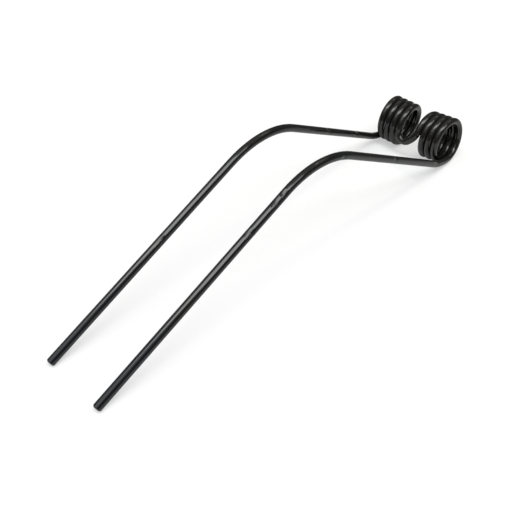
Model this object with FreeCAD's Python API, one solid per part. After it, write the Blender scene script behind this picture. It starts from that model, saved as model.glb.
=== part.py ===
import FreeCAD, Part
import math
import os
from FreeCAD import Placement, Rotation, Vector

# Rotary rake tine, in millimetres.
# One length of round spring wire is wound cold into two close coils of opposite
# hand. The bridge joins them, and is what the machine's clamp holds. An arm runs
# out of the far end of each coil, and turns down at a knee into a straight leg.
# The tine lies on its coils and on the heels of its two legs, as it would come to
# rest. X runs along the coils, the legs point to -Y, and +Z is up.

# Wire
wire_d = 9.0
tip_chamfer = 1.2

# Coils: turns are counted from where the arm leaves to where the bridge begins
coil_inner_d = 42.0
turn_gap = 0.2
turns_left = 3.74
turns_right = 3.67
coil_tilt = 2.8

# Bridge: how far each coil's last direction runs on before the wire turns across
bridge_reach_left = 25.0
bridge_reach_right = 10.0

# Arms: spacing is between the wires' centres where they leave the coils
arm_spacing = 96.0
arm_rise = 23.0
arm_bend_r = 90.0
arm_length = 190.0
toe_in = 1.75

# Legs
knee_angle = 51.0
knee_r = 115.0
leg_length = 264.0

wire_r = wire_d / 2
coil_r = coil_inner_d / 2 + wire_r
pitch = wire_d + turn_gap
arcs_per_turn = 8
LEFT = -1
RIGHT = 1


def straight(start, direction, length):
    """A straight stretch of wire, as its two end points."""
    return (start, start + direction * length)


def bend(start, direction, new_direction, radius):
    """An arc of wire that turns to a new direction, as three of its points."""
    turn = direction.getAngle(new_direction)
    inward = (new_direction - direction * direction.dot(new_direction)).normalize()

    def at(angle):
        forward = direction * (radius * math.sin(angle))
        return start + forward + inward * (radius * (1 - math.cos(angle)))

    return (start, at(turn / 2), at(turn))


def corner(start, direction, new_direction, reach):
    """A bend whose two straight lines would meet at this reach from its start."""
    turn = direction.getAngle(new_direction)
    return bend(start, direction, new_direction, reach / math.tan(turn / 2))


def arc_pair(start, direction, end, end_direction):
    """Two arcs that join two points smoothly in the wire's direction at each."""
    chord = end - start
    both = chord.dot(direction + end_direction)
    open_angle = 2 * (1 - direction.dot(end_direction))
    root = math.sqrt(both * both + open_angle * chord.dot(chord))
    reach = (root - both) / open_angle
    middle = chord - (direction + end_direction) * reach
    middle.normalize()
    first = corner(start, direction, middle, reach)
    second = corner(first[-1], middle, end_direction, reach)
    return [first, second]


def coil_point(side, turn):
    """The wire's centre and direction, so many turns in from the arm."""
    angle = 2 * math.pi * turn
    along = side * (arm_spacing / 2 - pitch * turn)
    centre = Vector(along, coil_r * math.sin(angle), -coil_r * math.cos(angle))
    advance = -side * pitch / (2 * math.pi)
    direction = Vector(advance, coil_r * math.cos(angle), coil_r * math.sin(angle))
    return centre, direction.normalize()


def coil(side, turns):
    """The coil from the arm to the bridge, as pairs of arcs along its helix."""
    steps = math.ceil(turns * arcs_per_turn / 2)
    spans = []
    for step in range(steps):
        start, direction = coil_point(side, turns * step / steps)
        end, end_direction = coil_point(side, turns * (step + 1) / steps)
        spans += arc_pair(start, direction, end, end_direction)
    return spans


def slope(side, rise):
    """The direction of an arm or leg that rises by this angle as it runs out."""
    across = -side * math.sin(math.radians(toe_in))
    back = -math.cos(math.radians(toe_in))
    level = Vector(across, back, 0)
    return level * math.cos(math.radians(rise)) + Vector(0, 0, math.sin(math.radians(rise)))


def arm_and_leg(side):
    """Arm, knee and leg, from the coil to the tip."""
    start, into_coil = coil_point(side, 0)
    arm_direction = slope(side, arm_rise)
    leg_direction = slope(side, arm_rise - knee_angle)
    lead_out = bend(start, -into_coil, arm_direction, arm_bend_r)
    arm = straight(lead_out[-1], arm_direction, arm_length)
    knee = bend(arm[-1], arm_direction, leg_direction, knee_r)
    leg = straight(knee[-1], leg_direction, leg_length)
    return [lead_out, arm, knee, leg]


def moved(spans, placement):
    return [tuple(placement.multVec(point) for point in span) for span in spans]


def turned_round(spans):
    return [tuple(reversed(span)) for span in reversed(spans)]


def half(side, turns):
    """One coil with its arm and leg, from the tip to the bridge, tilted outwards."""
    spans = turned_round(arm_and_leg(side)) + coil(side, turns)
    tilt = Placement(Vector(), Rotation(Vector(0, 1, 0), -side * coil_tilt))
    return moved(spans, tilt), tilt.Rotation.multVec(coil_point(side, turns)[1])


def bridge(left_end, left_direction, right_end, right_direction):
    """The wire between the coils: a turn, a short run across and a turn back."""
    left_corner = left_end + left_direction * bridge_reach_left
    right_corner = right_end + right_direction * bridge_reach_right
    across = right_corner - left_corner
    across.normalize()
    first = corner(left_end, left_direction, across, bridge_reach_left)
    last = corner(right_end, right_direction, -across, bridge_reach_right)
    return [first, (first[-1], last[-1])] + turned_round([last])


def edge(span):
    if len(span) == 2:
        return Part.LineSegment(*span).toShape()
    return Part.Arc(*span).toShape()


def resting_turn(leg):
    """The turn about X that sets the coils and the leg's heel on one level."""
    knee_end, tip = leg
    direction = (tip - knee_end).normalize()
    down = Vector(0, -direction.z, direction.y).normalize()
    heel = tip - direction * tip_chamfer + down * wire_r
    lowest_turn = arm_spacing / 2 - pitch * math.floor(min(turns_left, turns_right))
    coil_height = lowest_turn * math.sin(math.radians(coil_tilt))
    reach = math.hypot(heel.y, heel.z - coil_height)
    drop = math.asin((coil_r + wire_r) / reach)
    present = math.atan2(heel.z - coil_height, -heel.y)
    return math.degrees(present + drop)


def wire_solid(spans):
    """The round wire swept along its whole centre line, with its ends chamfered."""
    path = Part.Wire([edge(span) for span in spans])
    start, second = spans[0]
    section = Part.Wire(Part.Circle(start, second - start, wire_r).toShape())
    solid = path.makePipe(Part.Face(section))
    ends = [face for face in solid.Faces if face.Surface.TypeId == "Part::GeomPlane"]
    return solid.makeChamfer(tip_chamfer, [face.Edges[0] for face in ends]), path


left, left_direction = half(LEFT, turns_left)
right, right_direction = half(RIGHT, turns_right)
middle = bridge(left[-1][-1], left_direction, right[-1][-1], right_direction)
centre_line = left + middle + turned_round(right)

settle = Placement(Vector(), Rotation(Vector(1, 0, 0), resting_turn(turned_round(left)[-1])))
tine, path = wire_solid(moved(centre_line, settle))

box = tine.optimalBoundingBox(False, False)
tine.translate(Vector(-box.Center.x, -box.Center.y, -box.ZMin))

os.makedirs("parts", exist_ok=True)
tine.exportStep("parts/spring_tine.step")

print("wire length", round(path.Length, 2))
print("overall size", round(box.XLength, 1), round(box.YLength, 1), round(box.ZLength, 1))
print("volume", round(tine.Volume, 1), "section times length", round(math.pi * wire_r ** 2 * path.Length, 1))
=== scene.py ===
import math

import bpy
from mathutils import Euler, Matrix

# Rotary rake tine, lying on a white studio floor. X runs along its coils, its legs
# point to -Y, and +Z is up, in metres.
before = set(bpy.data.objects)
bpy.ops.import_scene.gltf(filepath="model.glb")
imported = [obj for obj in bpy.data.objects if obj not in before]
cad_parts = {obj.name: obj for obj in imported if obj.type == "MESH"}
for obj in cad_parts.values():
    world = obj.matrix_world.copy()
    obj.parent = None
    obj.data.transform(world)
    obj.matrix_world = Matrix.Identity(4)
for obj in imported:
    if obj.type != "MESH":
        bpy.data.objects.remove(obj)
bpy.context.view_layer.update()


# Double coil tine
# One length of round spring steel wire, 9 mm thick. A machine winds and bends it cold,
# and it is then hardened and dipped in black paint. In use a bolted clamp holds it by
# the bridge between its coils.
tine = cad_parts["spring_tine"]

# The wire is smooth all along, and only the chamfers at its two ends have edges. Where
# its stretches meet, a seam would ripple the highlight.
same_point = 0.00001
sharp_from = math.radians(30)
seams = tine.modifiers.new("seams", "WELD")
seams.merge_threshold = same_point
edges = tine.modifiers.new("edges", "EDGE_SPLIT")
edges.split_angle = sharp_from


def linear(colour):
    """A six-digit sRGB colour, such as "1a1a1a", as linear red, green, blue and alpha."""
    parts = [int(colour[i : i + 2], 16) / 255 for i in (0, 2, 4)]
    curved = [p / 12.92 if p <= 0.04045 else ((p + 0.055) / 1.055) ** 2.4 for p in parts]
    return (*curved, 1)


def add(material, kind, **settings):
    """A new node in a material. A setting names one of its properties or, with spaces
    as underscores or by its number, one of its inputs, which takes a value or an output."""
    node = material.node_tree.nodes.new(kind)
    for name, value in settings.items():
        if hasattr(node, name):
            setattr(node, name, value)
            continue
        numbered = name[1:].isdigit()
        socket = node.inputs[int(name[1:]) if numbered else name.replace("_", " ")]
        if isinstance(value, bpy.types.NodeSocket):
            material.node_tree.links.new(value, socket)
        else:
            socket.default_value = value
    return node


# Black enamel, dipped and stoved. It is nearly black and glossy: what the eye sees of
# it is mostly the long highlight along the wire.
enamel = bpy.data.materials.new("black_dipped_enamel")
enamel.use_nodes = True
enamel.node_tree.nodes.clear()
place = add(enamel, "ShaderNodeTexCoord").outputs["Object"]
mm = add(enamel, "ShaderNodeVectorMath", operation="SCALE", _0=place, Scale=1000).outputs[0]

# Each pattern of the coat has a size in millimetres and so many steps of finer detail.
# The swell is where the wet paint ran along the wire, and the waves are one wire thick.
# Orange peel is really about 1 mm. It is drawn coarser, because a point of the render
# covers 1.2 mm. The grain is that of the scuffs, and the drift is in the black's tone.
patterns = {
    "swell": (55, 1),
    "waves": (9, 2),
    "peel": (1.7, 3),
    "grain": (3.3, 4),
    "drift": (33, 2),
}
noise = {}
for name, (size, detail) in patterns.items():
    pattern = add(enamel, "ShaderNodeTexNoise", Vector=mm, Scale=1 / size, Detail=detail, Roughness=0.6)
    noise[name] = pattern.outputs[0]

# Where the tine was gripped or struck, the coat is dented: a place on the wire and how
# far the dent reaches, in millimetres. It is at full depth within a fifth of its reach.
dents = (
    ((39.8, -60.2, 105.9), 8),
    ((40.4, -50.5, 109.8), 6),
    ((40.6, -97.5, 88.6), 7),
    ((-35.2, -148.5, 68.0), 8),
    ((-40.0, 120.8, 71.6), 8),
    ((-44.2, 186.3, 38.3), 6),
    ((44.0, 36.3, 110.5), 5),
    ((47.7, 132.5, 66.5), 5),
    ((52.2, 226.0, 18.0), 9),
)
full_within = 0.2
dented = 0
for spot, reach in dents:
    away = add(enamel, "ShaderNodeVectorMath", operation="DISTANCE", _0=mm, _1=spot).outputs["Value"]
    dent = add(
        enamel,
        "ShaderNodeMapRange",
        Value=away,
        From_Min=full_within * reach,
        From_Max=reach,
        To_Min=1,
        To_Max=0,
    ).outputs[0]
    dented = add(enamel, "ShaderNodeMath", operation="MAXIMUM", _0=dented, _1=dent).outputs[0]

# Rubbing against other tines in the bin leaves dull, slightly paler scuffs. In the open
# they are few, at the peaks of the grain only. In the dents they cover its upper half.
peaks, full_peaks = 0.68, 0.76
upper_half, full_half = 0.5, 0.62
grain = noise["grain"]
few = add(enamel, "ShaderNodeMapRange", Value=grain, From_Min=peaks, From_Max=full_peaks).outputs[0]
many = add(enamel, "ShaderNodeMapRange", Value=grain, From_Min=upper_half, From_Max=full_half).outputs[0]
worn = add(enamel, "ShaderNodeMath", operation="MULTIPLY", _0=dented, _1=many).outputs[0]
rubbed = add(enamel, "ShaderNodeMath", operation="MAXIMUM", _0=few, _1=worn).outputs[0]

# The tone of the black runs from cool, at 0, to warm, at 1. It is cool at the tips of
# the legs and evens out over 90 mm, and it is warmer on the coils: that is a painted
# tint of the light the wire reflects there. It also drifts a little everywhere, which
# is the coat's own tone.
tips_end, legs_even = -280, -190
arms_end, coils_begin = 200, 235
tip_tone, leg_tone, more_on_coils, most_drift = -0.35, 0.3, 0.25, 0.4
drift_low, drift_high = 0.35, 0.65
along = add(enamel, "ShaderNodeSeparateXYZ", Vector=mm).outputs["Y"]
painted_tint_on_legs = add(
    enamel,
    "ShaderNodeMapRange",
    Value=along,
    From_Min=tips_end,
    From_Max=legs_even,
    To_Min=tip_tone,
    To_Max=leg_tone,
).outputs[0]
painted_tint_on_coils = add(
    enamel,
    "ShaderNodeMapRange",
    Value=along,
    From_Min=arms_end,
    From_Max=coils_begin,
    To_Max=more_on_coils,
).outputs[0]
drift = add(
    enamel,
    "ShaderNodeMapRange",
    Value=noise["drift"],
    From_Min=drift_low,
    From_Max=drift_high,
    To_Max=most_drift,
).outputs[0]
# Painted tint of reflected light, plus the coat's own drift.
warm = add(enamel, "ShaderNodeMath", operation="ADD", _0=painted_tint_on_legs, _1=painted_tint_on_coils).outputs[0]
warm = add(enamel, "ShaderNodeMath", operation="ADD", use_clamp=True, _0=warm, _1=drift).outputs[0]
cool_black = linear("0e1116")
warm_black = linear("1a1914")
scuff_grey = linear("2a2a29")
black = add(
    enamel, "ShaderNodeMix", data_type="RGBA", _0=warm, _6=cool_black, _7=warm_black
).outputs[2]
colour = add(enamel, "ShaderNodeMix", data_type="RGBA", _0=rubbed, _6=black, _7=scuff_grey).outputs[2]

# The coat is glossy all over. Its roughness changes a little from wave to wave, and is
# more on a scuff.
glossiest, dullest, scuff_adds = 0.08, 0.13, 0.16
trough, crest = 0.3, 0.7
gloss = add(
    enamel,
    "ShaderNodeMapRange",
    Value=noise["waves"],
    From_Min=trough,
    From_Max=crest,
    To_Min=glossiest,
    To_Max=dullest,
).outputs[0]
roughness = add(
    enamel, "ShaderNodeMath", operation="MULTIPLY_ADD", _0=rubbed, _1=scuff_adds, _2=gloss
).outputs[0]

# How far each shape stands out from the coat, or goes into it, in millimetres.
relief = (
    (noise["swell"], 0.35),
    (noise["waves"], 0.015),
    (noise["peel"], 0.005),
    (dented, -0.45),
    (worn, -0.06),
)
height = 0
for shape, depth in relief:
    height = add(
        enamel, "ShaderNodeMath", operation="MULTIPLY_ADD", _0=shape, _1=depth, _2=height
    ).outputs[0]
millimetre = 0.001
bump = add(enamel, "ShaderNodeBump", Strength=1, Distance=millimetre, Height=height).outputs[0]
coat = add(
    enamel, "ShaderNodeBsdfPrincipled", Base_Color=colour, Roughness=roughness, IOR=1.65, Normal=bump
).outputs[0]
add(enamel, "ShaderNodeOutputMaterial", Surface=coat)
for slot in tine.material_slots:
    slot.material = enamel


# Floor
# A sheet of pale, matt background paper on a table. Further out it is darker than such
# paper is: that is painted shade, for the light that falls off away from the tine, so
# that the undersides of the legs reflect a dim room, as the real ones do. What the
# camera sees of it is lifted to white, and it keeps the tine's soft shadow.
def backdrop(material, seen):
    """The strength of the white backdrop. The camera and glass see it as given, and
    gloss sees it as dim as the room round a lit table."""
    in_gloss = 0.1
    ray = add(material, "ShaderNodeLightPath").outputs
    camera_ray, through_glass = ray["Is Camera Ray"], ray["Is Transmission Ray"]
    clear = add(
        material, "ShaderNodeMath", operation="MAXIMUM", _0=camera_ray, _1=through_glass
    ).outputs[0]
    clear = add(material, "ShaderNodeMath", operation="MULTIPLY", _0=clear, _1=seen).outputs[0]
    gloss_ray = ray["Is Glossy Ray"]
    return add(
        material, "ShaderNodeMath", operation="MULTIPLY_ADD", _0=gloss_ray, _1=in_gloss, _2=clear
    ).outputs[0]


pale_paper = bpy.data.materials.new("pale_paper")
pale_paper.use_nodes = True
pale_paper.node_tree.nodes.clear()
on_sheet = add(pale_paper, "ShaderNodeTexCoord").outputs["Object"]
metres = add(pale_paper, "ShaderNodeVectorMath", operation="LENGTH", _0=on_sheet).outputs["Value"]

# The sheet is palest within 0.25 m of its middle, and darkest past 0.9 m, which is
# painted shade. Its pale colour is faintly blue to offset the cream of the lamps
# behind. The camera's share of the backdrop grows as the sheet darkens.
near, far = 0.25, 0.9
out = add(pale_paper, "ShaderNodeMapRange", Value=metres, From_Min=near, From_Max=far).outputs[0]
near_colour, far_painted_shade = linear("b8b9ba"), linear("5a5a5a")
sheet = add(
    pale_paper, "ShaderNodeMix", data_type="RGBA", _0=out, _6=near_colour, _7=far_painted_shade
).outputs[2]
matt = add(pale_paper, "ShaderNodeBsdfDiffuse", Color=sheet).outputs[0]
near_lift, far_lift = 0.5, 1
lift = add(pale_paper, "ShaderNodeMapRange", Value=out, To_Min=near_lift, To_Max=far_lift).outputs[0]
glow = add(pale_paper, "ShaderNodeEmission", Strength=backdrop(pale_paper, lift)).outputs[0]
both = add(pale_paper, "ShaderNodeAddShader", _0=matt, _1=glow).outputs[0]
add(pale_paper, "ShaderNodeOutputMaterial", Surface=both)

bpy.ops.mesh.primitive_plane_add(size=8)
floor = bpy.context.object
floor.name = "floor"
floor.data.materials.append(pale_paper)


# Light
# A dim room with a white backdrop. Level lamps stand for one wide diffuser over the
# tine, which is brightest in a slanting band near its middle and fades to the left, the
# right and the front. Behind it the ceiling is dim and slightly cream.
room_light = 0.05
room = bpy.data.worlds.new("room")
bpy.context.scene.world = room
room.use_nodes = True
room.node_tree.nodes.clear()
dim = add(room, "ShaderNodeMath", operation="MAXIMUM", _0=backdrop(room, 1), _1=room_light).outputs[0]
air = add(room, "ShaderNodeBackground", Color=linear("ffffff"), Strength=dim).outputs[0]
add(room, "ShaderNodeOutputWorld", Surface=air)

# Each lamp is a level rectangle: where it hangs, its width and depth, its turn in
# degrees, how bright its face is, and its colour.
hung_at = 3
lamps = {
    "key": (0.5, -0.62, 3.6, 1.25, 17, 2.95, "ffffff"),
    "key_core": (1.0, -0.38, 1.9, 0.6, 17, 6.25, "ffffff"),
    "left_fade": (-2.4, -0.7, 7.2, 2.2, 5, 0.33, "ffffff"),
    "right_fade": (2.3, 0.6, 3.0, 1.4, 14, 1.5, "ffffff"),
    "front_fade": (-0.8, -1.9, 4.6, 1.6, 0, 0.74, "ffffff"),
    "front": (-0.8, -3.0, 6, 3.6, 0, 0.26, "ffffff"),
    "ceiling": (-0.2, 1.6, 6, 4.4, 0, 0.18, "fff7e9"),
    "back_strip": (0.3, 2.5, 0.8, 0.35, 0, 29, "fff7e9"),
}
for name, (x, y, width, depth, turn, face, colour) in lamps.items():
    lamp = bpy.data.lights.new(name, "AREA")
    lamp.shape = "RECTANGLE"
    lamp.size = width
    lamp.size_y = depth
    lamp.color = linear(colour)[:3]
    # A face of brightness 1 takes four watts for each square metre.
    lamp.energy = 4 * face * width * depth
    panel = bpy.data.objects.new(name, lamp)
    panel.location = (x, y, hung_at)
    panel.rotation_euler.z = math.radians(turn)
    bpy.context.collection.objects.link(panel)


# Camera
# It looks down on the tine from in front and to the right of its coils, at the
# photograph's angle, and is tipped by just under a degree.
camera = bpy.data.objects.new("camera", bpy.data.cameras.new("camera"))
camera.data.lens = 45.9
camera.location = (0.3728, -0.4279, 0.4795)
heading = math.radians(44.67)
elevation = math.radians(41.65)
roll = math.radians(-0.86)
look = Euler((math.pi / 2 - elevation, 0, heading)).to_quaternion()
camera.rotation_mode = "QUATERNION"
camera.rotation_quaternion = look @ Euler((0, 0, roll)).to_quaternion()
bpy.context.collection.objects.link(camera)
bpy.context.scene.camera = camera
bpy.context.scene.view_settings.view_transform = "Standard"
